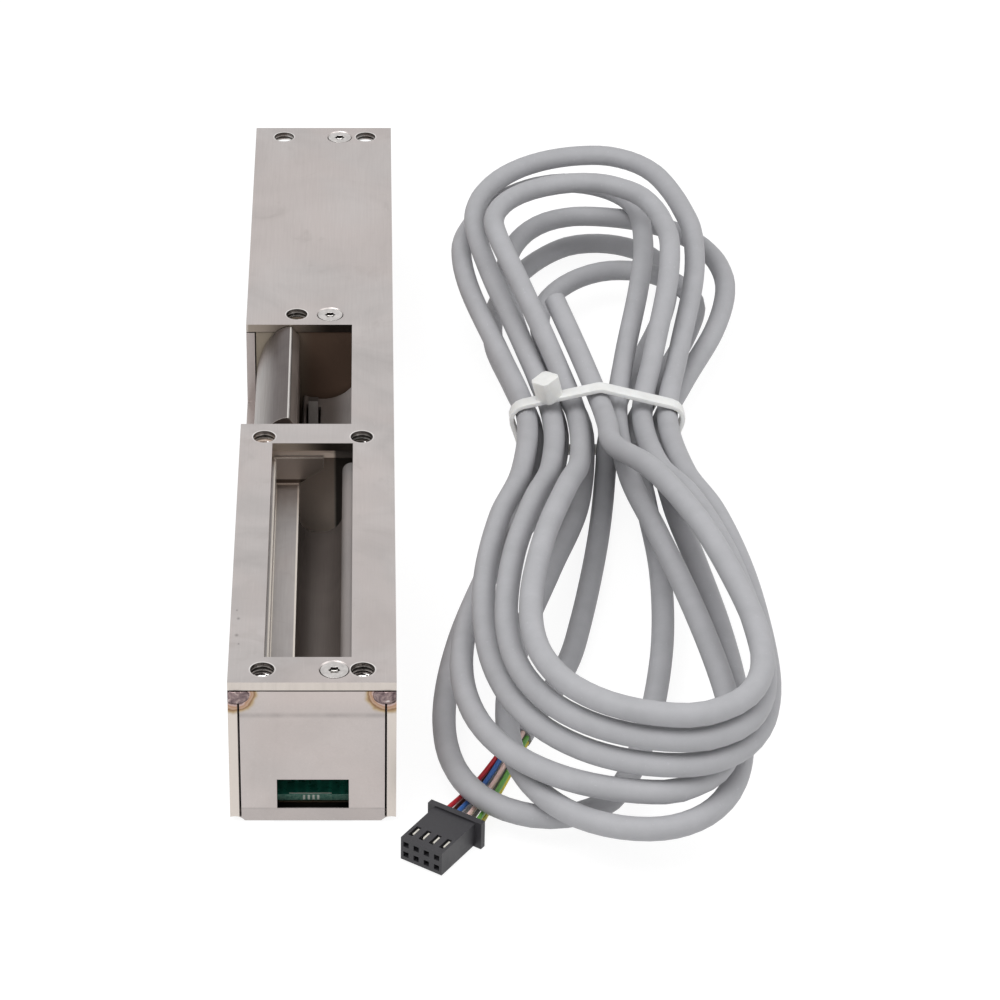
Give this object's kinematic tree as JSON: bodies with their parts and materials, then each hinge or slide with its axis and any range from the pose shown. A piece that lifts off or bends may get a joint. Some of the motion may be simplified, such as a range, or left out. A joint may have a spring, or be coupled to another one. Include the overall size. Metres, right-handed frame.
{
  "type": "electric door strike",
  "caption": "Electric door strike: folded steel box and face plate with a swinging keeper, a bolt window with a sensing lever, a solenoid lock and a bundled cable with a plug.",
  "frame": {"origin": "middle of the box's back, which is the face away from the door's edge, with the free cable left out", "axes": "+Y along the plate from the plug's end to the overhanging end, +Z out of the face plate, -X the side that the keeper opens to"},
  "size_m": [0.1218, 0.2752, 0.0413],
  "materials": {
    "stainless_sheet": "satin, faintly blotched",
    "keeper_steel": "satin cast and ground",
    "bright_steel": "bright",
    "spring_steel": "drawn wire",
    "magnet_steel": "plated",
    "copper_wire": "enamelled copper winding",
    "gold_plate": "plated",
    "black_plastic": "matte",
    "connector_plastic": "matte",
    "button_plastic": "matte",
    "nylon": "translucent white",
    "circuit_board": "solder mask",
    "amber_foil": "film",
    "grey_jacket": "matte PVC",
    "red_insulation": "matte",
    "black_insulation": "matte",
    "white_insulation": "matte",
    "brown_insulation": "matte",
    "green_insulation": "matte",
    "yellow_insulation": "matte",
    "grey_insulation": "matte",
    "pink_insulation": "matte",
    "blue_insulation": "matte"
  },
  "bodies": {
    "base": {"bolt_lever_pin": "bright_steel", "bolt_lever_spring": "spring_steel", "bolt_switch": "black_plastic", "bolt_switch_bracket": "stainless_sheet", "bolt_trough": "stainless_sheet", "cable_hank": "grey_jacket", "cable_tie": "nylon", "capacitor": "black_plastic", "circuit_board": "circuit_board", "coil_bobbin": "nylon", "coil_lead_black": "black_insulation", "coil_lead_red": "red_insulation", "coil_winding": "copper_wire", "connector_housing": "connector_plastic", "core_blue": "blue_insulation", "core_brown": "brown_insulation", "core_green": "green_insulation", "core_grey": "grey_insulation", "core_pink": "pink_insulation", "core_red": "red_insulation", "core_white": "white_insulation", "core_yellow": "yellow_insulation", "face_plate": "stainless_sheet", "housing": "stainless_sheet", "insulating_sheet": "amber_foil", "keeper_pin": "bright_steel", "keeper_spring": "spring_steel", "latch_bulkhead": "stainless_sheet", "latch_lever_pin": "bright_steel", "latch_sensor_bracket": "stainless_sheet", "latch_switch": "black_plastic", "latch_trough": "stainless_sheet", "lever_pin_bracket": "stainless_sheet", "mid_bracket": "stainless_sheet", "pin_header": "black_plastic", "plate_screw_far": "bright_steel", "plate_screw_mid": "bright_steel", "plate_screw_near": "bright_steel", "pole_piece": "magnet_steel", "relay": "black_plastic", "slide_guide": "black_plastic", "slide_spring": "spring_steel", "solenoid_frame": "magnet_steel", "terminal_1": "gold_plate", "terminal_2": "gold_plate", "terminal_3": "gold_plate", "terminal_4": "gold_plate", "terminal_5": "gold_plate", "terminal_6": "gold_plate", "terminal_7": "gold_plate", "terminal_8": "gold_plate"},
    "keeper": {"keeper": "keeper_steel"},
    "bolt_lever": {"bolt_lever": "stainless_sheet"},
    "latch_lever": {"latch_lever": "stainless_sheet"},
    "bolt_button": {"bolt_switch_button": "button_plastic"},
    "latch_button": {"latch_switch_button": "button_plastic"},
    "plunger": {"plunger": "bright_steel"},
    "slide": {"locking_slide": "bright_steel"}
  },
  "joints": [
    {"name": "keeper_hinge", "type": "hinge", "parent": "base", "child": "keeper", "pos_m": [-0.0128, 0.0014, 0.0173], "axis": [0, -1, 0], "range_deg": [0, 70], "stiffness_Nm_per_rad": 0.02, "springref_deg": -22.92},
    {"name": "bolt_lever_hinge", "type": "hinge", "parent": "base", "child": "bolt_lever", "pos_m": [-0.0126, -0.0727, 0.0305], "axis": [0, 1, 0], "range_deg": [0, 8], "stiffness_Nm_per_rad": 0.02, "springref_deg": -8.59},
    {"name": "bolt_button_travel", "type": "slide", "parent": "base", "child": "bolt_button", "axis": [0, 0, -1], "range_m": [0, 0.0008]},
    {"name": "latch_lever_hinge", "type": "hinge", "parent": "base", "child": "latch_lever", "pos_m": [-0.0015, 0.002, 0.011], "axis": [-1, 0, 0], "range_deg": [0, 8], "stiffness_Nm_per_rad": 0.004, "springref_deg": -8.59},
    {"name": "latch_button_travel", "type": "slide", "parent": "base", "child": "latch_button", "axis": [0, 0, -1], "range_m": [0, 0.0007]},
    {"name": "plunger_travel", "type": "slide", "parent": "base", "child": "plunger", "axis": [0, -1, 0], "range_m": [0, 0.005], "stiffness_N_per_m": 60, "springref_m": -0.003},
    {"name": "slide_travel", "type": "slide", "parent": "base", "child": "slide", "axis": [0, -1, 0], "range_m": [0, 0.005], "deforming": ["slide_spring"]}
  ],
  "couplings": [
    {"joint": "bolt_button_travel", "follows": "bolt_lever_hinge", "m_per_rad": 0.005724},
    {"joint": "latch_button_travel", "follows": "latch_lever_hinge", "m_per_rad": 0.005008},
    {"joint": "slide_travel", "follows": "plunger_travel", "ratio": 1}
  ]
}
